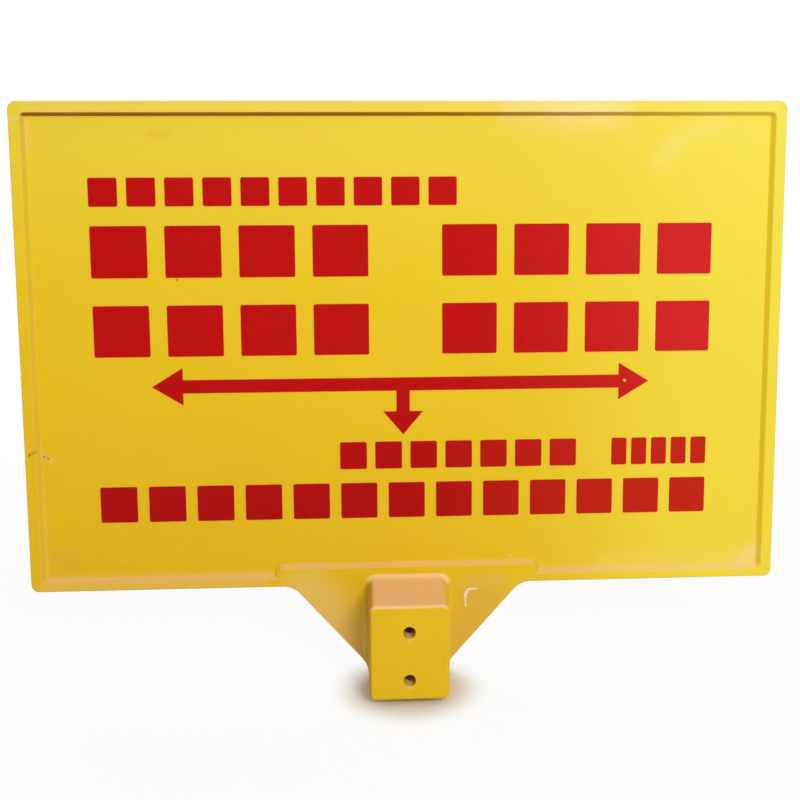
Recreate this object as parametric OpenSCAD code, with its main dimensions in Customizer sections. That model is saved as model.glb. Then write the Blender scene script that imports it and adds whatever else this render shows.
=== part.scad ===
// Moulded sign head with a raised rim, a gusset and a hollow post socket.
// The origin is the centre of the socket's mouth, on the post's own axis.
// The board stands up in X and Z, and its printed face looks along -Y.

/* [Board] */
// Width of the board
board_w = 620; // [560:1:900]
// Height of the board
board_h = 400; // [380:1:600]
// Radius of the four outer corners, seen from the front
board_corner_r = 6.5; // [4:0.5:20]
// Thickness of the plate behind the printed field
field_t = 5; // [3:0.5:8]
// Height of the rim's front face above the field
rim_rise = 6; // [4:0.5:10]
// Width of the rim's flat front face
rim_w = 9; // [6:0.5:20]
// Width of the rim along the lower edge
low_rim_w = 7; // [5:0.5:20]
// Run of the sloped face from the rim down to the field
rim_slope_w = 2.5; // [1.5:0.5:6]
// Radius of the field's four corners, seen from the front
field_corner_r = 1.5; // [1:0.5:10]
// Radius of the rounded edge between the rim's front and its sloped face
rim_edge_r = 1.2; // [0.5:0.1:2.5]
// Radius of the fillet between the sloped face and the field
field_fillet_r = 1; // [0.5:0.1:2]
// Radius of the rounded outer edge, on the front only
outer_edge_r = 1.2; // [0.5:0.1:3]

/* [Gusset] */
// Width of the gusset where it leaves the board's lower edge
gusset_w = 191; // [150:1:260]
// Height of the board's lower edge above the socket's mouth
neck_h = 75.5; // [55:0.5:120]
// Height at which the gusset's sides reach the socket's sides
tail_h = 5.2; // [4:0.1:12]
// Radius where the gusset's sides leave the board
gusset_fillet_r = 18; // [6:1:30]
// Radius where the gusset's sides run into the socket
tail_fillet_r = 13; // [5:1:13]
// Width of the raised pad that carries the gusset into the rim
pad_w = 217; // [190:1:300]
// Rise of the pad's upper edge above the rim's inner edge
pad_rise = 8.5; // [5:0.5:20]
// Radius of the pad's two upper corners
pad_corner_r = 4; // [2:0.5:10]

/* [Post socket] */
// Width of the square post that the socket takes
post_w = 40; // [36:1:50]
// Clearance round the post, on each side
post_gap = 1; // [0.5:0.1:2]
// Depth to which the post goes in
socket_depth = 68; // [60:0.5:100]
// Radius of the corners inside the socket
socket_corner_r = 3; // [1:0.5:6]
// Thickness of the wall under the bolt heads
front_wall = 12; // [7:0.5:16]
// Thickness of the wall behind the post
back_wall = 13; // [8:0.5:16]
// Thickness of the side walls at the front
side_wall = 11; // [7:0.5:14]
// Thickness of the wall over the post at the front
top_wall = 11.5; // [8:0.5:16]
// Draft of the socket's outer faces, in degrees
draft = 1.5; // [1:0.5:2.5]
// Radius of the socket's four corners at its foot, seen from the front
socket_foot_r = 7; // [6:0.5:10]
// Radius of the rounded edge round the socket's front face
socket_edge_r = 3; // [1:0.5:3.5]
// Radius of the fillet between the socket and the gusset
socket_fillet_r = 5; // [2:0.5:7]

/* [Bolt holes] */
// Diameter of the two through holes
bolt_hole_d = 10; // [8:0.5:13]
// Distance between the two holes
bolt_pitch = 40; // [30:1:45]
// Height of the lower hole above the socket's mouth
bolt_low_z = 17; // [12:0.5:22]

/* [Print] */
// Thickness of the printed film on the field
print_t = 0.3; // [0.2:0.1:0.6]
// Distance from the board's sides to the outermost print
print_margin = 58; // [40:1:70]
// Corner radius of the plain blocks
block_r = 1.5; // [0.5:0.5:3]
// Share of its place in the row that a block fills
block_fill = 0.76; // [0.6:0.02:0.9]
// Height of the large blocks
large_block_h = 42; // [30:1:50]
// Height of the small blocks
small_block_h = 23; // [16:1:28]
// Height of the blocks in the lowest row
low_block_h = 30; // [20:1:34]
// Gap in the middle of the two rows of large blocks
middle_gap = 60; // [40:1:90]
// Length of the first row of small blocks
first_row_w = 294; // [240:1:340]
// Length of the left group in the fourth row
fourth_left_w = 197; // [160:1:210]
// Length of the right group in the fourth row
fourth_right_w = 80; // [60:1:90]
// Gap between those two groups
group_gap = 30; // [20:1:40]

/* [Print heights] */
// Distance from the board's upper edge to the top of the print
print_top = 60; // [50:1:70]
// Distance from the board's lower edge to the bottom of the print
print_low = 56.5; // [50:0.5:70]
// Gap under the first row, before the gaps are fitted to the board's height
first_row_gap = 15.5; // [8:0.5:24]
// The same under the second row
second_row_gap = 22.5; // [8:0.5:30]
// The same under the third row
third_row_gap = 9.5; // [4:0.5:16]
// The same under the arrow's lower tip
arrow_gap = 6; // [3:0.5:12]
// The same under the fourth row
fourth_row_gap = 12; // [6:0.5:20]

/* [Arrow] */
// Length of the double arrow from tip to tip
arrow_w = 409; // [300:1:430]
// Offset of the arrow from the board's centreline
arrow_offset_x = -2.5; // [-6:0.5:6]
// Thickness of the arrow's shaft
arrow_shaft_h = 11; // [6:0.5:16]
// Length of the two side heads
arrow_head_l = 25; // [16:1:36]
// Height of the two side heads
arrow_head_h = 31; // [20:1:40]
// Distance from the shaft's middle to the tip of the lower head
lower_tip_drop = 42.5; // [38:0.5:46]
// Length of the lower head
lower_head_l = 19.5; // [12:0.5:24]
// Width of the lower head
lower_head_w = 33; // [20:1:44]

/* [Hidden] */
$fn = 48;

head_colour = "#e3bc30";
print_colour = "#c80f1c";

// How far a cutting shape runs past the face that it cuts.
overrun = 1;
// How far a revolved cutter runs into the next one, in degrees.
turn_lap = 1;
// How far a fillet's circle goes past its two sides, so that it crosses them.
bite = 0.002;
// Height of the socket's front edge above the plane of the mouth.
lip_rise = 0.4;
// How far the socket's foot is sunk into the plate that it grows from.
foot_sink = outer_edge_r + 0.5;

// Numbers of blocks in the rows.
first_row_blocks = 10;
half_row_blocks = 4;
fourth_left_blocks = 7;
fourth_right_blocks = 5;
fifth_row_blocks = 13;

// Planes from the back of the board to the front of the socket.
socket_w = post_w + 2 * post_gap;
back_y = socket_w / 2 + back_wall;
field_y = back_y - field_t;
rim_y = field_y - rim_rise;
socket_front_y = -socket_w / 2 - front_wall;
socket_stand = rim_y - socket_front_y;

// Lower and upper edge of the board, and its middle.
board_z0 = neck_h;
board_z1 = neck_h + board_h;
board_mid_z = (board_z0 + board_z1) / 2;

// Outer faces of the socket at its foot. They lean in by the taper, so that
// the lower one ends a little above the plane of the mouth at the front.
taper = socket_stand * tan(draft);
foot_half_w = socket_w / 2 + side_wall + taper;
foot_top_z = socket_depth + top_wall + taper;
foot_low_z = lip_rise - taper;

// Gusset's outline on the right: its two sharp corners, before the radii.
shoulder = [gusset_w / 2, board_z0];
tail = [foot_half_w, tail_h];
down_side = unit(tail - shoulder);
tail_turn = corner_angle(-down_side, [0, -1]);
tail_r = min(tail_fillet_r, 0.95 * tail_h * tan(tail_turn / 2));
shoulder_reach = touch_length([1, 0], down_side, gusset_fillet_r);
tail_reach = touch_length(-down_side, [0, -1], tail_r);

// Distances of the rows from the board's upper edge, to their middles, and of
// the arrow's shaft. The gaps stretch so that the print fills its height.
blocks_h = 2 * small_block_h + 2 * large_block_h + low_block_h
         + arrow_head_h / 2 + lower_tip_drop;
gaps_h = first_row_gap + second_row_gap + third_row_gap + arrow_gap
       + fourth_row_gap;
stretch = (board_h - print_top - print_low - blocks_h) / gaps_h;
first_row_drop = print_top + small_block_h / 2;
second_row_drop = first_row_drop + (small_block_h + large_block_h) / 2
                + first_row_gap * stretch;
third_row_drop = second_row_drop + large_block_h + second_row_gap * stretch;
arrow_drop = third_row_drop + (large_block_h + arrow_head_h) / 2
           + third_row_gap * stretch;
fourth_row_drop = arrow_drop + lower_tip_drop + small_block_h / 2
                + arrow_gap * stretch;
fifth_row_drop = fourth_row_drop + (small_block_h + low_block_h) / 2
               + fourth_row_gap * stretch;

// Direction of the vector v, as a length of one.
function unit(v) = v / norm(v);

// Angle between two directions that leave one corner.
function corner_angle(u, v) = acos(u * v);

// A point of the right half, put on the side that is 1 or -1.
function to_side(p, side) = [side * p[0], p[1]];

// The points of a right-hand outline on the left, in the opposite order.
function mirrored(points) =
    [for (i = [len(points) - 1 : -1 : 0]) to_side(points[i], -1)];

// Distance from a corner to the points where a radius r touches its sides.
function touch_length(u, v, r) = r / tan(corner_angle(u, v) / 2);

// What lies between the corner p, its sides towards a and b, and a radius r.
// The piece runs past the corner, so that it joins or cuts cleanly.
module corner_piece(p, a, b, r) {
    u = unit(a - p);
    v = unit(b - p);
    middle = unit(u + v);
    reach = touch_length(u, v, r);
    ends = cross(u, v) > 0 ? [u, v] : [v, u];
    difference() {
        polygon([p - middle * overrun, p + ends[0] * reach, p + ends[1] * reach]);
        translate(p + middle * r / sin(corner_angle(u, v) / 2))
            circle(r + bite);
    }
}

// Cutter that rounds a square edge at the origin, with the solid in +X and +Y.
module edge_cutter(r) {
    difference() {
        translate([-overrun, -overrun])
            square(r + overrun);
        translate([r, r])
            circle(r);
    }
}

// Rectangle round the origin with rounded corners.
module rounded_rectangle(w, h, r) {
    square([w - 2 * r, h], center = true);
    square([w, h - 2 * r], center = true);
    for (x = [-1, 1], y = [-1, 1])
        translate([x * (w / 2 - r), y * (h / 2 - r)])
            circle(r);
}

// Runs a shape drawn in X and Z from y0 to y1.
module along_y(y0, y1) {
    translate([0, y1, 0])
        rotate([90, 0, 0])
            linear_extrude(y1 - y0)
                children();
}

// Runs a shape drawn in Y and Z from x0 to x1.
module along_x(x0, x1) {
    translate([x0, 0, 0])
        rotate([90, 0, 90])
            linear_extrude(x1 - x0)
                children();
}

// Runs a shape drawn in X and Y from z0 to z1.
module along_z(z0, z1) {
    translate([0, 0, z0])
        linear_extrude(z1 - z0)
            children();
}

// Revolves a section round an axis along Y, through c in X and Z.
// Its height is counted from y towards the front.
module round_y(c, y, start_angle, sweep) {
    translate([c[0], y, c[1]])
        rotate([90, 0, 0])
            rotate([0, 0, start_angle])
                rotate_extrude(angle = sweep)
                    children();
}

// Carries a wall section up one side, over the top and down the other side.
// The section starts at the corner axes, and its height is counted from y.
module arch(half_w, z0, top_z, y) {
    for (side = [0, 1])
        mirror([side, 0, 0]) {
            translate([half_w, y, 0])
                along_z(z0, top_z)
                    mirror([0, 1])
                        children();
            round_y([half_w, top_z], y, 0, 90)
                children();
        }
    translate([0, y, top_z])
        along_x(-half_w, half_w)
            rotate(90)
                children();
}

// Block inside an arch, between its corner axes.
module arch_core(half_w, z0, top_z, y0, y1) {
    along_y(y0, y1)
        translate([-half_w, z0])
            square([2 * half_w, top_z - z0]);
}

// Block from y0 to y1 with a wall section all round, centred on the origin.
// The section starts at the corner axes, and its height is counted from y.
module ringed_block(half_w, half_h, y, y0, y1) {
    arch_core(half_w, -half_h, half_h, y0, y1);
    for (side = [0, 1])
        mirror([0, 0, side])
            arch(half_w, 0, half_h, y)
                children();
}

// Edge of the board in section, rounded at the front.
module board_section() {
    board_t = back_y - rim_y;
    difference() {
        square([board_corner_r, board_t]);
        translate([board_corner_r, board_t])
            rotate(180)
                edge_cutter(outer_edge_r);
    }
}

// Board at the rim's full thickness.
module board_blank() {
    half_w = board_w / 2 - board_corner_r;
    half_h = board_h / 2 - board_corner_r;
    translate([0, 0, board_mid_z])
        ringed_block(half_w, half_h, back_y, rim_y, back_y)
            board_section();
}

// Gusset seen from the front, from the mouth up to the height high_z.
module gusset_outline(high_z) {
    shoulder_end = shoulder + [shoulder_reach, 0];
    right = [[tail[0], 0], tail, shoulder, shoulder_end,
             [shoulder_end[0], high_z]];
    polygon(concat(right, mirrored(right)));
    for (side = [-1, 1]) {
        corner_piece(to_side(shoulder, side), to_side(shoulder_end, side),
                     to_side(tail, side), gusset_fillet_r);
        corner_piece(to_side(tail, side), to_side(shoulder, side),
                     to_side([tail[0], 0], side), tail_r);
    }
}

// Rounds the gusset's front edges, as far as the socket's fillet.
module gusset_edge_cutters() {
    arc_centre = [shoulder[0] + shoulder_reach, board_z0 - gusset_fillet_r];
    straight_start = shoulder + down_side * shoulder_reach;
    straight_l = norm(tail - shoulder) - shoulder_reach - tail_reach;
    sweep = corner_angle([-1, 0], down_side) + turn_lap;
    for (side = [0, 1])
        mirror([side, 0, 0]) {
            round_y(arc_centre, rim_y, 90, sweep)
                translate([gusset_fillet_r, 0])
                    mirror([0, 1])
                        edge_cutter(outer_edge_r);
            translate([straight_start[0], rim_y, straight_start[1]])
                rotate([0, atan2(down_side[0], down_side[1]), 0])
                    linear_extrude(straight_l)
                        edge_cutter(outer_edge_r);
        }
}

// Gusset at the rim's full thickness, flush with the rim.
module gusset_blank() {
    difference() {
        along_y(rim_y, back_y)
            gusset_outline(board_z0 + low_rim_w / 2);
        gusset_edge_cutters();
    }
}

// Wall of the socket in section: sunk foot, fillet, drafted face, rounded lip.
module socket_section() {
    foot = [socket_foot_r, 0];
    lip = [socket_foot_r - taper, socket_stand];
    fillet_w = touch_length(unit(lip - foot), [1, 0], socket_fillet_r);
    difference() {
        union() {
            polygon([[0, -foot_sink], [foot[0] + fillet_w, -foot_sink],
                     [foot[0] + fillet_w, 0], foot, lip, [0, socket_stand]]);
            corner_piece(foot, lip, foot + [1, 0], socket_fillet_r);
        }
        corner_piece(lip, foot, [0, socket_stand], socket_edge_r);
    }
}

// Socket as a solid block, before the hollow is made. Its foot and its fillet
// end at the gusset's sides and in the plane of the mouth.
module socket_blank() {
    half_h = (foot_top_z - foot_low_z) / 2 - socket_foot_r;
    intersection() {
        translate([0, 0, (foot_top_z + foot_low_z) / 2])
            ringed_block(foot_half_w - socket_foot_r, half_h, rim_y,
                         socket_front_y, rim_y + foot_sink)
                socket_section();
        along_y(socket_front_y - overrun, back_y)
            gusset_outline(board_mid_z);
    }
}

// Hollow that takes the post, open at the mouth.
module socket_hollow() {
    along_z(-overrun, socket_depth)
        rounded_rectangle(socket_w, socket_w, socket_corner_r);
}

// Two holes through the front and the back wall of the socket.
module bolt_holes() {
    for (z = [bolt_low_z, bolt_low_z + bolt_pitch])
        translate([0, back_y + overrun, z])
            rotate([90, 0, 0])
                cylinder(d = bolt_hole_d,
                         h = back_y - socket_front_y + 2 * overrun);
}

// Wall of the field's recess in section, its height counted from the field.
module recess_section() {
    foot = [field_corner_r, 0];
    brim = foot + [rim_slope_w, rim_rise];
    difference() {
        union() {
            polygon([[0, 0], foot, brim, brim + [0, overrun],
                     [0, rim_rise + overrun]]);
            corner_piece(brim, foot, brim + [1, 0], rim_edge_r);
        }
        corner_piece(foot, [0, 0], brim, field_fillet_r);
    }
}

// Edge of the raised pad in section, its height counted from the field.
module pad_section() {
    lip = [pad_corner_r, rim_rise];
    foot = [pad_corner_r + rim_slope_w, 0];
    lip_reach = touch_length([-1, 0], unit(foot - lip), rim_edge_r);
    fillet_reach = touch_length([1, 0], unit(lip - foot), field_fillet_r);
    difference() {
        union() {
            polygon([[0, -overrun], [foot[0] + fillet_reach, -overrun],
                     [foot[0] + fillet_reach, 0], foot, lip, [0, rim_rise]]);
            corner_piece(foot, lip, foot + [1, 0], field_fillet_r);
        }
        corner_piece(lip, foot, [0, rim_rise], rim_edge_r);
    }
    square([pad_corner_r - lip_reach, rim_rise + 2 * overrun]);
}

// Raised pad that the gusset ends in, above the rim.
module pad_blank() {
    half_w = pad_w / 2 - pad_corner_r;
    corner_z = board_z0 + low_rim_w + pad_rise - pad_corner_r;
    arch_core(half_w, board_z0, corner_z,
              rim_y - 2 * overrun, field_y + overrun);
    arch(half_w, board_z0, corner_z, field_y)
        pad_section();
}

// Sunk field inside the rim, stepped round the pad.
module field_recess() {
    wall_w = rim_slope_w + field_corner_r;
    half_w = board_w / 2 - rim_w - wall_w;
    half_h = (board_h - rim_w - low_rim_w) / 2 - wall_w;
    difference() {
        translate([0, 0, board_mid_z + (low_rim_w - rim_w) / 2])
            ringed_block(half_w, half_h, field_y, rim_y - overrun, field_y)
                recess_section();
        pad_blank();
    }
}

// The whole moulding, in one piece.
module sign_head() {
    color(head_colour)
        difference() {
            union() {
                board_blank();
                gusset_blank();
                socket_blank();
            }
            field_recess();
            socket_hollow();
            bolt_holes();
        }
}

// Printed film on the field, of the shape that is drawn in X and Z. Heights in
// the shape are counted from a level that lies a drop below the upper edge.
module printed(drop) {
    color(print_colour)
        translate([0, 0, board_z1 - drop])
            along_y(field_y - print_t, field_y)
                children();
}

// Row of evenly spread blocks from x0 to x1.
module block_row(x0, x1, h, count) {
    pitch = (x1 - x0) / (count - 1 + block_fill);
    w = pitch * block_fill;
    for (i = [0 : count - 1])
        translate([x0 + w / 2 + i * pitch, 0])
            rounded_rectangle(w, h, block_r);
}

// Two halves of large blocks, with a gap in the middle.
module large_blocks() {
    print_x = board_w / 2 - print_margin;
    for (side = [0, 1])
        mirror([side, 0])
            block_row(middle_gap / 2, print_x, large_block_h, half_row_blocks);
}

module first_row_marks() {
    x0 = -board_w / 2 + print_margin;
    printed(first_row_drop)
        block_row(x0, x0 + first_row_w, small_block_h, first_row_blocks);
}

module second_row_marks() {
    printed(second_row_drop)
        large_blocks();
}

module third_row_marks() {
    printed(third_row_drop)
        large_blocks();
}

module fourth_row_marks() {
    x1 = board_w / 2 - print_margin;
    gap_x1 = x1 - fourth_right_w;
    gap_x0 = gap_x1 - group_gap;
    printed(fourth_row_drop) {
        block_row(gap_x1, x1, small_block_h, fourth_right_blocks);
        block_row(gap_x0 - fourth_left_w, gap_x0, small_block_h,
                  fourth_left_blocks);
    }
}

module fifth_row_marks() {
    print_x = board_w / 2 - print_margin;
    printed(fifth_row_drop)
        block_row(-print_x, print_x, low_block_h, fifth_row_blocks);
}

// Double arrow with a short arrow down from its middle.
module arrow_mark() {
    neck_x = arrow_w / 2 - arrow_head_l;
    neck_z = -lower_tip_drop + lower_head_l;
    printed(arrow_drop)
        translate([arrow_offset_x, 0]) {
            square([2 * neck_x, arrow_shaft_h], center = true);
            for (turn = [0, 180])
                rotate(turn)
                    polygon([[neck_x, -arrow_head_h / 2], [arrow_w / 2, 0],
                             [neck_x, arrow_head_h / 2]]);
            translate([-arrow_shaft_h / 2, neck_z])
                square([arrow_shaft_h, -neck_z]);
            polygon([[-lower_head_w / 2, neck_z], [0, -lower_tip_drop],
                     [lower_head_w / 2, neck_z]]);
        }
}

sign_head();
arrow_mark();
first_row_marks();
second_row_marks();
third_row_marks();
fourth_row_marks();
fifth_row_marks();
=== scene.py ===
# Moulded pipeline sign head, printed in red, on a pale floor.
# Lengths are in metres unless a note says mm. The board stands in X and Z, with its print to -Y.
import math

import bmesh
import bpy
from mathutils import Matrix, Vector, noise


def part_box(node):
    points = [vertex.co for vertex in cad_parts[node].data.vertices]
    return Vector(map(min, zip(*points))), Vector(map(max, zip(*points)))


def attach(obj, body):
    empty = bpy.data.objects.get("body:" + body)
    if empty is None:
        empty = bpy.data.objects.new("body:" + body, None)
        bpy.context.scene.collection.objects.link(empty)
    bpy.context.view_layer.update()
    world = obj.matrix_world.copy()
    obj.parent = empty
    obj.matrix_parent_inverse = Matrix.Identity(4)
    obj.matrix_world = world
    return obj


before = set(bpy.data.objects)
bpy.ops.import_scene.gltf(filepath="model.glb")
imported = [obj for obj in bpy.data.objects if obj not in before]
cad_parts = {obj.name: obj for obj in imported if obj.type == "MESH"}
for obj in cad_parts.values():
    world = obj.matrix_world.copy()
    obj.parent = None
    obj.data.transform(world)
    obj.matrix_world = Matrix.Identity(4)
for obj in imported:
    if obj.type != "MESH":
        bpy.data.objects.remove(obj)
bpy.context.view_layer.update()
scene = bpy.context.scene
print("frame loaded:", ", ".join(sorted(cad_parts)))

mm = 0.001
white = (1, 1, 1, 1)
resinIor = 1.5    # polyester resin, and near enough for enamel and dirt
rimHeight = 6 * mm

# Places on the sign that the wear and the dust are set out from
headLow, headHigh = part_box("sign_head")
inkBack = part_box("arrow_mark")[1].y
sign = {
    "fieldY": inkBack,            # the print lies on the field
    "rimY": inkBack - rimHeight,  # the rim stands in front of it
    "socketY": headLow.y,         # front of the socket
    "recessLow": 85 * mm,         # height at which the field starts
    "recessHalf": 298.5 * mm,     # half the width of the field
}


def hexColour(text):
    # sRGB hex to the linear values that the shaders take, with an alpha of 1
    def toLinear(c):
        return c / 12.92 if c <= 0.04045 else ((c + 0.055) / 1.055) ** 2.4
    digits = text.lstrip("#")
    return tuple(toLinear(int(digits[i:i + 2], 16) / 255) for i in (0, 2, 4)) + (1.0,)


def addNode(tree, kind, settings=None, links=None, values=None):
    # one node: settings are its properties, values its unlinked inputs, links its linked ones
    node = tree.nodes.new(kind)
    for key, value in (settings or {}).items():
        setattr(node, key, value)
    for key, value in (values or {}).items():
        node.inputs[key].default_value = value
    for key, source in (links or {}).items():
        tree.links.new(source, node.inputs[key])
    return node


def newMaterial(name):
    material = bpy.data.materials.new(name)
    material.use_nodes = True
    material.node_tree.nodes.clear()
    return material, material.node_tree


def between(tree, source, start, full, strength=1.0):
    # a mask that goes softly from 0 to its strength as the source goes from start to full
    node = addNode(tree, "ShaderNodeMapRange", {"interpolation_type": "SMOOTHSTEP", "clamp": True},
                   {"Value": source}, {"From Min": start, "From Max": full, "To Max": strength})
    return node.outputs["Result"]


def whereAll(tree, first, *others):
    # where all these masks are
    for mask in others:
        first = addNode(tree, "ShaderNodeMath", {"operation": "MULTIPLY"},
                        {0: first, 1: mask}).outputs[0]
    return first


def cover(tree, under, colour, *masks):
    # lays a hex colour over what is under it; the mix node's colour sockets are 6, 7 and output 2
    node = addNode(tree, "ShaderNodeMix", {"data_type": "RGBA"},
                   {0: whereAll(tree, *masks)}, {7: hexColour(colour)})
    if isinstance(under, str):
        node.inputs[6].default_value = hexColour(under)
    else:
        tree.links.new(under, node.inputs[6])
    return node.outputs[2]


def strokeMask(tree, place, face, start, end, width, core, strength):
    # a soft round-ended stroke on a face that looks along -Y, given in mm in X and Z
    start, end = (Vector((x * mm, sign[face], z * mm)) for x, z in (start, end))
    along = end - start
    away = addNode(tree, "ShaderNodeVectorMath", {"operation": "SUBTRACT"}, {0: place}, {1: start})
    run = addNode(tree, "ShaderNodeVectorMath", {"operation": "DOT_PRODUCT"},
                  {0: away.outputs[0]}, {1: along / along.length_squared})
    share = addNode(tree, "ShaderNodeClamp", links={0: run.outputs["Value"]})
    nearest = addNode(tree, "ShaderNodeVectorMath", {"operation": "SCALE"},
                      {"Scale": share.outputs[0]}, {0: along})
    gap = addNode(tree, "ShaderNodeVectorMath", {"operation": "DISTANCE"},
                  {0: away.outputs[0], 1: nearest.outputs[0]})
    half = width / 2 * mm
    return between(tree, gap.outputs["Value"], half, half * core, strength)


def addObject(name, shape, material):
    # a smooth object from a bmesh
    for face in shape.faces:
        face.smooth = True
    mesh = bpy.data.meshes.new(name)
    shape.to_mesh(mesh)
    shape.free()
    mesh.materials.append(material)
    made = bpy.data.objects.new(name, mesh)
    scene.collection.objects.link(made)
    return made


# Camera where the photo was taken from
cameraView = {
    "place": (-0.0235, -0.9067, 0.4396),
    "turn": (82.386, 0.128, -3.201),  # degrees
    "lens": 51.994,     # mm
    "sensor": 36,       # mm
    "shiftX": -0.0505,  # the photo is cropped off-centre,
    "shiftY": -0.124,   # with less above the sign than below it
    "nearest": 0.01,    # clip start
}


def makeCamera():
    data = bpy.data.cameras.new("signCamera")
    data.lens = cameraView["lens"]
    data.sensor_width = cameraView["sensor"]
    data.shift_x = cameraView["shiftX"]
    data.shift_y = cameraView["shiftY"]
    data.clip_start = cameraView["nearest"]
    camera = bpy.data.objects.new("signCamera", data)
    camera.location = cameraView["place"]
    camera.rotation_euler = [math.radians(angle) for angle in cameraView["turn"]]
    scene.collection.objects.link(camera)
    scene.camera = camera


makeCamera()
print("camera set")

# Moulded fibreglass: polyester and glass fibre pressed hot in a polished mould. The eye gets a warm
# yellow that runs through the whole wall, a satin gloss, a faint cloud of fibres, and on whatever
# looks up a pale salmon that is settled dust and painted light from above. Its colour also carries
# painted sheen towards the upper right, painted highlights on the socket, and painted light and
# shade on the recess walls, under the top rim and on the socket's left side.
fibreglass = {
    "colour": "#e5bf08",
    "deepColour": "#dfb404",        # resin-rich clouds
    "lowColour": "#dab00a",         # the least faded part, at the bottom
    "sunColour": "#ebda22",         # faded by the sun towards the top,
    "bleachAndSheenColour": "#ece14a",      # and more towards the right, with painted sheen there
    "warmColour": "#f6d92c",        # the lower right, faded but less chalky
    "hazeAndSheenColour": "#efe2a0",        # chalking of the resin, with painted sheen, along the top
    "edgeColour": "#e6c67c",        # dust that has crept onto the field along its edges
    "dustAndLightColour": "#f8ca96",        # settled dust and painted light from above on faces that look up,
    "paleDustAndLightColour": "#fae6a8",     # paler towards the right
    "rightWallLightColour": "#f4da30",        # painted light on the right side wall of the recess, as if lit back by the field,
    "leftWallShadeColour": "#dec440",    # and painted shade, a duller tone, on its left one
    "edgeHighlightColour": "#f5cfa0",  # painted highlight on the socket's rounded edges that look up
    "leftSideShadeColour": "#a8741a",        # painted shade on the socket's left side
    "shadeColour": "#9a5200",       # painted shade under the rim, where it looks down on the field
    "backColour": "#dcb43a",        # never polished, and never in the sun
    "roughness": 0.52,
    "roughnessSwing": (-0.05, 0.08),  # from the smoothest patches to the roughest ones,
    "speckleSpan": (0.3, 0.7),      # over this part of the noise
    "mattDust": 0.4,                # what faces that look up and the socket's left side add to the roughness
    "gloss": 0.27,                  # specular level of the weathered skin
    # sizes in mm
    "cloudSize": 90,
    "fibreLength": 25,              # chopped strands
    "fibreWidth": 1.2,              # drawn coarser than the real 0.5 so that they show
    "speckleSize": 9,               # breaks up the dust
    "raggedSize": 8,                # lets the hand marks' edges wander,
    "raggedReach": 3,               # from one side to the other
    "pebbleSize": 3.0,              # the mould's own fine ripple
    "waveSize": 45,                 # and the slow wave of a large pressing
    "reliefDepth": 0.15,
    # how strongly the rest shows
    "waveShare": 6.0,               # against the ripple
    "relief": 0.10,
    "fibreAngles": (20, -35, 80),   # degrees
    "fibreShow": 0.07,              # in the polished front
    "fibreBack": 0.30,              # and in the rough back
    # fades along the board: where each starts, where it is full, and how strong it gets
    "lowFade": (0.26, 0.06, 0.45),         # down the board
    "upFade": (0.16, 0.50, 0.56),          # up the board
    "slowFade": (-0.20, 0.20, 0.24),       # to the right
    "rightFade": (0.07, 0.30, 0.74),
    "warmFade": (0.10, 0.26, 0.38),
    "warmLowFade": (0.30, 0.14),
    "hazeFade": (0.33, 0.485, 0.09),
    "edgeLowFade": (0.24, 0.10),
    "rightwardsFade": (0.06, 0.26, 0.5),
    "leftwardsFade": (0.9, -0.15),            # dust and painted light from above, less to the right
    "shadeFade": (0.46, -0.05, 0.95),      # painted shade, less to the right
    # fades with the way that a face looks, from -1 to 1 on an axis
    "frontFade": (0.2, -0.6),
    "backFade": (0.5, 0.9, 0.8),
    "lookUpFade": (0.76, 1.03),
    "lookDownFade": (-0.3, -0.75),
    "rightWallFade": (-0.3, -0.8, 0.8),
    "leftWallFade": (0.3, 0.8, 0.8),
    "leftSideShadeFade": (-0.2, -0.8, 0.55),
    "edgeFromFade": (0.1, 0.4, 0.8),       # a painted highlight on a rounded edge, from the front face
    "edgeToFade": (0.92, 0.75),            # to the top one
    # fades in depth, and onto the field from its edges
    "recessFade": (sign["fieldY"] - 3 * mm, sign["fieldY"] - 1 * mm),
    "rimFade": (sign["rimY"] - 1 * mm, sign["rimY"]),
    "socketFade": (sign["rimY"] + 0.5 * mm, sign["rimY"] - 0.5 * mm),
    "lowEdgeFade": (sign["recessLow"] + 6 * mm, sign["recessLow"] - 1 * mm, 0.35),
    "sideEdgeFade": (sign["recessHalf"] - 4 * mm, sign["recessHalf"], 0.3),
    # fades on a noise
    "cloudFade": (0.38, 0.68, 0.3),
    "fibreFade": (0.56, 0.74),
    "brokenFade": (0.1, 0.42),
}
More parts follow.
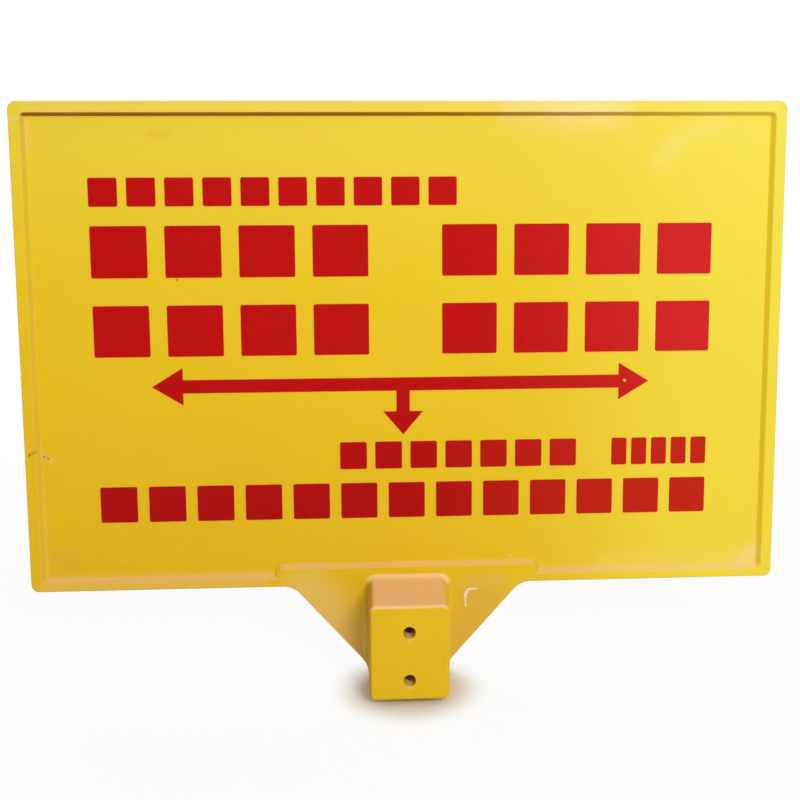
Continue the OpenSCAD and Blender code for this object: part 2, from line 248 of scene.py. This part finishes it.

# Wear and smudges that show as colour, with some painted sheen and painted highlights. Each is a
# soft stroke: the face it is on, its two ends in mm in X and Z, its width in mm, the share of the
# width that is full, its strength, and its colour.
handMarks = {
    "wipeStart": ("fieldY", (208, 427), (218, 439), 26, 0.0, 0.17, "#f4eaa8"),
    "wipeEnd": ("fieldY", (224, 445), (256, 460), 26, 0.0, 0.12, "#f4eaa8"),
    # painted sheen: the pale haze of the lamp's reflection on the field and the top rim
    "fieldSheen": ("fieldY", (110, 452), (176, 456), 46, 0.0, 0.06, "#f4ea9c"),
    "topRimSheen": ("rimY", (-296, 471), (298, 471), 14, 0.3, 0.08, "#f8e9b8"),
    # painted highlight: a lit pale spot on the lower lip of each bolt hole
    "upperHoleLipHighlight": ("socketY", (0.6, 51.2), (-0.6, 51.2), 6, 0.0, 0.6, "#f2c07c"),
    "lowerHoleLipHighlight": ("socketY", (0.6, 11.2), (-0.6, 11.2), 6, 0.0, 0.6, "#f2c07c"),
    # painted highlight on the top rim, where the lamp's reflection is brightest
    "wideSheenHighlight": ("rimY", (88, 471), (170, 471), 48, 0.0, 0.26, "#f4eac0"),
    "sheenHighlight": ("rimY", (132, 471), (156, 471), 56, 0.0, 0.20, "#f4eac0"),
    "cornerScratch": ("rimY", (-309, 461.5), (-298, 463), 4, 0.0, 0.4, "#f0dca4"),
    "cornerDust": ("fieldY", (-298, 460), (-297, 438), 9, 0.0, 0.34, "#e8c890"),
    "fineScratch": ("fieldY", (115, 398.8), (152, 398.2), 3, 0.0, 0.15, "#f6e69a"),
    "upperSmudge": ("fieldY", (-202, 450), (-189, 449.4), 10, 0.0, 0.3, "#d7ae2c"),
    "lowerSmudge": ("fieldY", (-288, 101), (-274, 97), 22, 0.0, 0.22, "#c9a544"),
    "rightCornerDust": ("fieldY", (284, 86), (297, 96), 26, 0.0, 0.5, "#f0dc9c"),
    "lowDust": ("fieldY", (165, 90), (290, 90), 26, 0.0, 0.16, "#f4de90"),
    "lowRimDust": ("rimY", (-300, 79), (-120, 79), 14, 0.3, 0.3, "#e4c078"),
    "gussetDust": ("rimY", (-82, 66), (-50, 28), 74, 0.2, 0.42, "#e8c486"),
    # darker beige over the right part of the gusset
    "gussetRightDarker": ("rimY", (66, 62), (46, 24), 60, 0.1, 0.55, "#d4ac4c"),
    "padDust": ("rimY", (40, 75), (78, 78), 18, 0.0, 0.3, "#e2b964"),
    "speck": ("fieldY", (-184.5, 334), (-183.7, 333.6), 2.4, 0.3, 0.75, "#8a5a08"),
    "paleChip": ("fieldY", (86, 97), (88.5, 95.6), 1.6, 0.2, 0.6, "#f9e7b0"),
    "edgeNickStain": ("rimY", (-303.2, 193.2), (-301, 194.8), 5, 0.0, 0.7, "#ab8a1e"),
    "fieldNickDust": ("fieldY", (-296, 189.6), (-291, 185.5), 10, 0.0, 0.55, "#e6c46c"),
    "fieldNickStain": ("fieldY", (-296.4, 189.2), (-292.6, 187.4), 3.6, 0.0, 0.5, "#b99040"),
}


def crossStrands(tree, place):
    # strands lie every way, so three stretched patterns cross
    strands = None
    stretch = (fibreglass["fibreLength"] * mm, 1, fibreglass["fibreWidth"] * mm)
    for angle in fibreglass["fibreAngles"]:
        turned = addNode(tree, "ShaderNodeMapping", {"vector_type": "TEXTURE"}, {"Vector": place},
                         {"Rotation": (0, math.radians(angle), 0), "Scale": stretch})
        streak = addNode(tree, "ShaderNodeTexNoise", links={"Vector": turned.outputs[0]},
                         values={"Scale": 1, "Detail": 2, "Roughness": 0.5})
        mask = between(tree, streak.outputs["Fac"], *fibreglass["fibreFade"])
        strands = mask if strands is None else addNode(
            tree, "ShaderNodeMath", {"operation": "MAXIMUM"}, {0: strands, 1: mask}).outputs[0]
    return strands


def wanderPlace(tree, place):
    # the place, pushed about by a noise, so that what is drawn with it gets ragged edges
    reach = fibreglass["raggedReach"] * mm
    ragged = addNode(tree, "ShaderNodeTexNoise", links={"Vector": place},
                     values={"Scale": 1 / (fibreglass["raggedSize"] * mm), "Detail": 3})
    pushed = addNode(tree, "ShaderNodeVectorMath", {"operation": "MULTIPLY_ADD"},
                     {0: ragged.outputs["Color"], 2: place}, {1: (reach,) * 3})
    return addNode(tree, "ShaderNodeVectorMath", {"operation": "SUBTRACT"},
                   {0: pushed.outputs[0]}, {1: (reach / 2,) * 3}).outputs[0]


def mouldRelief(tree, place):
    pebble = addNode(tree, "ShaderNodeTexNoise", links={"Vector": place},
                     values={"Scale": 1 / (fibreglass["pebbleSize"] * mm), "Detail": 2})
    wave = addNode(tree, "ShaderNodeTexNoise", links={"Vector": place},
                   values={"Scale": 1 / (fibreglass["waveSize"] * mm), "Detail": 1})
    height = addNode(tree, "ShaderNodeMath", {"operation": "MULTIPLY_ADD"},
                     {0: wave.outputs["Fac"], 2: pebble.outputs["Fac"]},
                     {1: fibreglass["waveShare"]})
    bump = addNode(tree, "ShaderNodeBump", links={"Height": height.outputs[0]},
                   values={"Strength": fibreglass["relief"],
                           "Distance": fibreglass["reliefDepth"] * mm})
    return bump.outputs["Normal"]


def makeFibreglass():
    material, tree = newMaterial("Moulded fibreglass")
    place = addNode(tree, "ShaderNodeTexCoord").outputs["Object"]
    normal = addNode(tree, "ShaderNodeNewGeometry").outputs["True Normal"]
    facing = addNode(tree, "ShaderNodeSeparateXYZ", links={0: normal}).outputs
    spot = addNode(tree, "ShaderNodeSeparateXYZ", links={0: place}).outputs

    def fade(source, name):
        return between(tree, source, *fibreglass[name])

    clouds = addNode(tree, "ShaderNodeTexNoise", links={"Vector": place},
                     values={"Scale": 1 / (fibreglass["cloudSize"] * mm), "Detail": 4,
                             "Roughness": 0.55}).outputs["Fac"]
    speckle = addNode(tree, "ShaderNodeTexNoise", links={"Vector": place},
                      values={"Scale": 1 / (fibreglass["speckleSize"] * mm), "Detail": 5,
                              "Roughness": 0.6}).outputs["Fac"]
    strands = crossStrands(tree, place)
    inFront, inBack = (addNode(tree, "ShaderNodeMath", {"operation": "MULTIPLY"}, {0: strands},
                               {1: fibreglass[share]}).outputs[0]
                       for share in ("fibreShow", "fibreBack"))

    # parts of the sign
    front = fade(facing["Y"], "frontFade")
    behind = fade(facing["Y"], "backFade")
    inRecess = fade(spot["Y"], "recessFade")
    inRim = fade(spot["Y"], "rimFade")
    onSocket = fade(spot["Y"], "socketFade")
    sideways = addNode(tree, "ShaderNodeMath", {"operation": "ABSOLUTE"}, {0: spot["X"]}).outputs[0]
    lookUp = fade(facing["Z"], "lookUpFade")
    broken = fade(speckle, "brokenFade")
    shadedLeftSide = whereAll(tree, fade(facing["X"], "leftSideShadeFade"), onSocket)

    # colours over the first one, each with the masks that it shows in
    layers = [
        # the moulding itself, and the sun's bleach with painted sheen, which grows towards the
        # upper right
        ("deepColour", fade(clouds, "cloudFade")),
        ("lowColour", fade(spot["Z"], "lowFade")),
        ("bleachAndSheenColour", inFront),
        ("sunColour", fade(spot["Z"], "upFade")),
        ("sunColour", fade(spot["X"], "slowFade")),
        ("bleachAndSheenColour", fade(spot["X"], "rightFade")),
        ("warmColour", fade(spot["X"], "warmFade"), fade(spot["Z"], "warmLowFade")),
        ("hazeAndSheenColour", fade(spot["Z"], "hazeFade")),
        # dust along the field's edges; settled dust and painted light from above on what looks up
        ("edgeColour", fade(spot["Z"], "lowEdgeFade"), broken, front, inRecess),
        ("edgeColour", fade(sideways, "sideEdgeFade"), fade(spot["Z"], "edgeLowFade"),
         broken, front, inRecess),
        ("dustAndLightColour", lookUp, broken, fade(spot["X"], "leftwardsFade")),
        ("paleDustAndLightColour", lookUp, broken, fade(spot["X"], "rightwardsFade")),
        # painted light and shade on the side walls of the recess, painted highlights on the
        # socket's edges, and painted shade on its left side
        ("rightWallLightColour", fade(facing["X"], "rightWallFade"), inRim),
        ("leftWallShadeColour", fade(facing["X"], "leftWallFade"), inRim),
        ("edgeHighlightColour", fade(facing["Z"], "edgeFromFade"), fade(facing["Z"], "edgeToFade"),
         front, onSocket),
        ("leftSideShadeColour", shadedLeftSide),
    ]
    colour = fibreglass["colour"]
    for name, *masks in layers:
        colour = cover(tree, colour, fibreglass[name], *masks)

    wandering = wanderPlace(tree, place)
    for *stroke, markColour in handMarks.values():
        mask = strokeMask(tree, wandering, *stroke)
        colour = cover(tree, colour, markColour, mask, front, broken)

    # painted shade where the rim looks down on the field, and the plain back with its strands
    colour = cover(tree, colour, fibreglass["shadeColour"], fade(facing["Z"], "lookDownFade"),
                   fade(spot["X"], "shadeFade"), inRim)
    colour = cover(tree, colour, fibreglass["backColour"], behind)
    colour = cover(tree, colour, fibreglass["sunColour"], inBack, behind)

    # faces that look up and the socket's left side are matt
    low, high = fibreglass["speckleSpan"]
    smooth, rough = (fibreglass["roughness"] + swing for swing in fibreglass["roughnessSwing"])
    satin = addNode(tree, "ShaderNodeMapRange", links={"Value": speckle},
                    values={"From Min": low, "From Max": high, "To Min": smooth, "To Max": rough})
    matt = addNode(tree, "ShaderNodeMath", {"operation": "MAXIMUM"}, {0: lookUp, 1: shadedLeftSide})
    skin = addNode(tree, "ShaderNodeMath", {"operation": "MULTIPLY_ADD", "use_clamp": True},
                   {0: matt.outputs[0], 2: satin.outputs["Result"]}, {1: fibreglass["mattDust"]})
    shader = addNode(tree, "ShaderNodeBsdfPrincipled",
                     links={"Base Color": colour, "Roughness": skin.outputs[0],
                            "Normal": mouldRelief(tree, place)},
                     values={"IOR": resinIor, "Specular IOR Level": fibreglass["gloss"]})
    addNode(tree, "ShaderNodeOutputMaterial", links={"Surface": shader.outputs[0]})
    return material


# Screen-printed enamel ink: a thin flooded film. The eye gets an even, deep red with the screen's
# faint mottle, a little faded at the right as the board is, and a pinhole in the right arrow head.
signInk = {
    "colour": "#be0404",
    "deepColour": "#a20202",
    "fadedColour": "#da2c31",
    "lowColour": "#bb2002",            # where the board has faded less
    "roughness": 0.45,
    "gloss": 0.10,
    "mottleSize": 7,                   # mm
    "relief": 0.12,
    "reliefDepth": 0.05,               # mm
    "mottleFade": (0.35, 0.7, 0.35),   # on the noise
    "deepFade": (0.30, 0.12, 0.7),     # down the board
    "fadedFade": (0.02, 0.30, 0.6),    # to the right
    "lowFade": (0.28, 0.16, 0.75),     # down the board,
    "lowRightFade": (-0.02, 0.20),     # and to the right
    "pinhole": ("fieldY", (181.8, 246.2), (182.4, 246.0), 3.0, 0.5, 1.0),  # a stroke, as above
}


def makeSignInk():
    material, tree = newMaterial("Screen-printed enamel ink")
    place = addNode(tree, "ShaderNodeTexCoord").outputs["Object"]
    spot = addNode(tree, "ShaderNodeSeparateXYZ", links={0: place}).outputs
    mottle = addNode(tree, "ShaderNodeTexNoise", links={"Vector": place},
                     values={"Scale": 1 / (signInk["mottleSize"] * mm), "Detail": 4,
                             "Roughness": 0.6}).outputs["Fac"]

    def fade(source, name):
        return between(tree, source, *signInk[name])

    layers = [
        ("deepColour", fade(mottle, "mottleFade")),
        ("deepColour", fade(spot["Z"], "deepFade")),
        ("fadedColour", fade(spot["X"], "fadedFade")),
        ("lowColour", fade(spot["Z"], "lowFade"), fade(spot["X"], "lowRightFade")),
    ]
    colour = signInk["colour"]
    for name, *masks in layers:
        colour = cover(tree, colour, signInk[name], *masks)
    colour = cover(tree, colour, fibreglass["colour"], strokeMask(tree, place, *signInk["pinhole"]))
    bump = addNode(tree, "ShaderNodeBump", links={"Height": mottle},
                   values={"Strength": signInk["relief"], "Distance": signInk["reliefDepth"] * mm})
    shader = addNode(tree, "ShaderNodeBsdfPrincipled",
                     links={"Base Color": colour, "Normal": bump.outputs["Normal"]},
                     values={"IOR": resinIor, "Roughness": signInk["roughness"],
                             "Specular IOR Level": signInk["gloss"]})
    addNode(tree, "ShaderNodeOutputMaterial", links={"Surface": shader.outputs[0]})
    return material


def dressFrame():
    moulding = makeFibreglass()
    ink = makeSignInk()
    for name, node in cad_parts.items():
        finish = moulding if name == "sign_head" else ink
        for slotItem in node.material_slots:
            slotItem.material = finish


dressFrame()
print("frame dressed")

# Torn resin is dry and fibrous: the eye gets a pale cream with darker threads.
# Ground-in dirt is dust and oil pressed into a nick: the eye gets a dead matt ochre.
scrapeFinish = {
    "resin": {"name": "Torn polyester resin", "colour": "#f6eed2", "deepColour": "#efcfa0",
              "roughness": 0.5},
    "dirt": {"name": "Ground-in road dirt", "colour": "#ba8b20", "deepColour": "#ab7d22",
             "roughness": 0.85},
    "gloss": 0.3,
    "grainSize": 2.5,     # mm
    "grainFade": (0.4, 0.65),
    "relief": 0.4,
    "reliefDepth": 0.2,   # mm
}


def makeScrapeFinish(look):
    material, tree = newMaterial(look["name"])
    place = addNode(tree, "ShaderNodeTexCoord").outputs["Object"]
    grain = addNode(tree, "ShaderNodeTexNoise", links={"Vector": place},
                    values={"Scale": 1 / (scrapeFinish["grainSize"] * mm),
                            "Detail": 4}).outputs["Fac"]
    colour = cover(tree, look["colour"], look["deepColour"],
                   between(tree, grain, *scrapeFinish["grainFade"]))
    bump = addNode(tree, "ShaderNodeBump", links={"Height": grain},
                   values={"Strength": scrapeFinish["relief"],
                           "Distance": scrapeFinish["reliefDepth"] * mm})
    shader = addNode(tree, "ShaderNodeBsdfPrincipled",
                     links={"Base Color": colour, "Normal": bump.outputs["Normal"]},
                     values={"IOR": resinIor, "Roughness": look["roughness"],
                             "Specular IOR Level": scrapeFinish["gloss"]})
    addNode(tree, "ShaderNodeOutputMaterial", links={"Surface": shader.outputs[0]})
    return material


# Scrapes: where something dragged over the sign. One has torn up a curl of resin beside the socket,
# others have left nicks at the left edge. Paths are in mm in X and Z.
scrapes = {
    "resinCurl": {"on": "rimY", "width": 3.6, "height": 0.5, "finish": "resin",
                  "path": [(49.0, 54.0), (48.4, 59.5), (48.4, 64.5), (49.8, 68.2), (53.0, 70.0),
                           (59.0, 69.8)]},
    "edgeNick": {"on": "rimY", "width": 2.6, "height": 0.1, "finish": "dirt",
                 "path": [(-306.7, 190.4), (-305.8, 191.8), (-304.6, 192.5)]},
    "fieldNick": {"on": "fieldY", "width": 1.5, "height": 0.1, "finish": "dirt",
                  "path": [(-296.9, 189.5), (-296.0, 188.9), (-295.3, 188.9)]},
    "lowNick": {"on": "fieldY", "width": 1.1, "height": 0.1, "finish": "dirt",
                "path": [(-293.1, 187.6), (-292.7, 186.9), (-292.4, 186.0)]},
}

scrapeShape = {
    "steps": 8,           # rings between two points of a path
    "raggedness": 0.35,   # how far the width wanders
    "noiseSeed": 3,
    "bluntEnd": 0.02,     # keeps the pointed ends from closing to nothing
    # across the strip and up from the face, as shares of its half width and height
    "section": [(-1, 0), (-0.6, 0.7), (0, 1), (0.6, 0.7), (1, 0), (0.5, -0.4), (-0.5, -0.4)],
}


def smoothPath(points, steps):
    # a curve through all the points, with the end points doubled
    ends = [points[0]] + list(points) + [points[-1]]
    path = []
    for i in range(1, len(ends) - 2):
        a, b, c, d = (Vector(point) for point in ends[i - 1:i + 3])
        for k in range(steps):
            t = k / steps
            path.append(0.5 * (2 * b + (c - a) * t + (2 * a - 5 * b + 4 * c - d) * t * t
                               + (3 * b - a - 3 * c + d) * t ** 3))
    path.append(Vector(points[-1]))
    return path


def makeScrape(name, finish):
    # a low domed strip, pointed at both ends, sunk a little into the face
    scrape = scrapes[name]
    path = smoothPath(scrape["path"], scrapeShape["steps"])
    last = len(path) - 1
    shape = bmesh.new()
    rings = []
    for i, point in enumerate(path):
        along = (path[min(i + 1, last)] - path[max(i - 1, 0)]).normalized()
        across = Vector((along.y, -along.x))
        ragged = noise.noise(Vector((point.x, point.y, scrapeShape["noiseSeed"])))
        swell = math.sqrt(max(math.sin(math.pi * (i / last)), scrapeShape["bluntEnd"]))
        half = scrape["width"] / 2 * swell * (1 + scrapeShape["raggedness"] * ragged)
        ring = []
        for side, lift in scrapeShape["section"]:
            spot = point + across * side * half
            depth = sign[scrape["on"]] - lift * scrape["height"] * swell * mm
            ring.append(shape.verts.new((spot.x * mm, depth, spot.y * mm)))
        rings.append(ring)
    for before, after in zip(rings, rings[1:]):
        for k in range(len(before)):
            n = (k + 1) % len(before)
            shape.faces.new((before[k], before[n], after[n], after[k]))
    shape.faces.new(rings[0])
    shape.faces.new(rings[-1])
    bmesh.ops.recalc_face_normals(shape, faces=shape.faces)
    piece = addObject(name, shape, finish)
    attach(piece, "root")


def makeScrapes():
    finishes = {kind: makeScrapeFinish(scrapeFinish[kind]) for kind in ("resin", "dirt")}
    for name, scrape in scrapes.items():
        makeScrape(name, finishes[scrape["finish"]])


makeScrapes()
print("scrapes made")

# Floor, backdrop and light. Painted board, plain and matt: the eye gets white that fades out, and
# the sign's soft shadow.
studio = {
    "floorDrop": 5 * mm,          # below the socket's mouth
    "floorColour": "#efeeec",
    "nearWhite": 0.9,             # share of plain white in what is seen of the floor, by the sign
    "farWhite": 1.0,              # and further away
    "whiteFrom": 0.5,
    "whiteTo": 1.6,
    "shadeEnds": (headHigh.y, 2 * headHigh.y),   # right under the socket it keeps its true shade
    "frontEnd": -6.0,             # the floor's front end,
    "backdropAt": 3.2,            # and the backdrop that it sweeps up into
    "backdropHigh": 5.0,
    "halfWidth": 7.0,
    "sweepRadius": 1.2,
    "sweepSteps": 24,
    "skyStrength": 0.46,
    "lampTint": "#fff4e6",
    "lampTarget": (0, 0, 0.25),
}
lamps = {
    "keyLamp": {"power": 21.6, "place": (0.6, -1.7, 1.15), "size": 0.8},
    # for whoever looks from behind
    "backLamp": {"power": 16.0, "place": (-0.8, 1.6, 1.7), "size": 1.2},
}


def seenShare(tree):
    # 1 for what the camera sees, straight or in a mirror or through glass
    path = addNode(tree, "ShaderNodeLightPath").outputs
    mirrored = addNode(tree, "ShaderNodeMath", {"operation": "MAXIMUM"},
                       {0: path["Is Glossy Ray"], 1: path["Is Transmission Ray"]})
    return addNode(tree, "ShaderNodeMath", {"operation": "MAXIMUM"},
                   {0: path["Is Camera Ray"], 1: mirrored.outputs[0]}).outputs[0]


def makeFloorPaint():
    material, tree = newMaterial("Pale painted floor")
    shade = addNode(tree, "ShaderNodeBsdfDiffuse",
                    values={"Color": hexColour(studio["floorColour"])})
    plain = addNode(tree, "ShaderNodeEmission", values={"Color": white, "Strength": 1.0})
    place = addNode(tree, "ShaderNodeTexCoord").outputs["Object"]
    away = addNode(tree, "ShaderNodeVectorMath", {"operation": "LENGTH"},
                   {0: place}).outputs["Value"]
    # the lower bolt hole looks on the floor under the socket, so there it isn't made white
    clear = between(tree, away, *studio["shadeEnds"])
    fading = addNode(tree, "ShaderNodeMapRange", links={"Value": away},
                     values={"From Min": studio["whiteFrom"], "From Max": studio["whiteTo"],
                             "To Min": studio["nearWhite"], "To Max": studio["farWhite"]})
    share = whereAll(tree, seenShare(tree), clear, fading.outputs["Result"])
    blend = addNode(tree, "ShaderNodeMixShader",
                    links={0: share, 1: shade.outputs[0], 2: plain.outputs[0]})
    addNode(tree, "ShaderNodeOutputMaterial", links={"Surface": blend.outputs[0]})
    return material


def makeFloor():
    radius, steps = studio["sweepRadius"], studio["sweepSteps"]
    flatEnd = studio["backdropAt"] - radius
    profile = [(studio["frontEnd"], 0.0), (flatEnd, 0.0)]
    for i in range(1, steps + 1):
        angle = math.pi / 2 * i / steps
        profile.append((flatEnd + radius * math.sin(angle), radius - radius * math.cos(angle)))
    profile.append((studio["backdropAt"], studio["backdropHigh"]))
    floorZ = headLow.z - studio["floorDrop"]
    shape = bmesh.new()
    left, right = ([shape.verts.new((x, y, floorZ + z)) for y, z in profile]
                   for x in (-studio["halfWidth"], studio["halfWidth"]))
    for i in range(len(profile) - 1):
        shape.faces.new((left[i], right[i], right[i + 1], left[i + 1]))
    addObject("floor", shape, makeFloorPaint())


def makeLamps():
    for name, lamp in lamps.items():
        data = bpy.data.lights.new(name, "AREA")
        data.shape = "DISK"
        data.size = lamp["size"]
        data.energy = lamp["power"]
        data.color = hexColour(studio["lampTint"])[:3]
        light = bpy.data.objects.new(name, data)
        light.location = lamp["place"]
        aim = Vector(studio["lampTarget"]) - Vector(lamp["place"])
        light.rotation_euler = aim.to_track_quat("-Z", "Y").to_euler()
        light.visible_camera = False
        scene.collection.objects.link(light)


def makeSky():
    world = bpy.data.worlds.new("studioSky")
    scene.world = world
    world.use_nodes = True
    tree = world.node_tree
    tree.nodes.clear()
    soft, plain = (addNode(tree, "ShaderNodeBackground",
                           values={"Color": white, "Strength": strength}).outputs[0]
                   for strength in (studio["skyStrength"], 1.0))
    blend = addNode(tree, "ShaderNodeMixShader", links={0: seenShare(tree), 1: soft, 2: plain})
    addNode(tree, "ShaderNodeOutputWorld", links={"Surface": blend.outputs[0]})


makeFloor()
makeSky()
makeLamps()
scene.view_settings.view_transform = "Standard"
print("stage and light set")
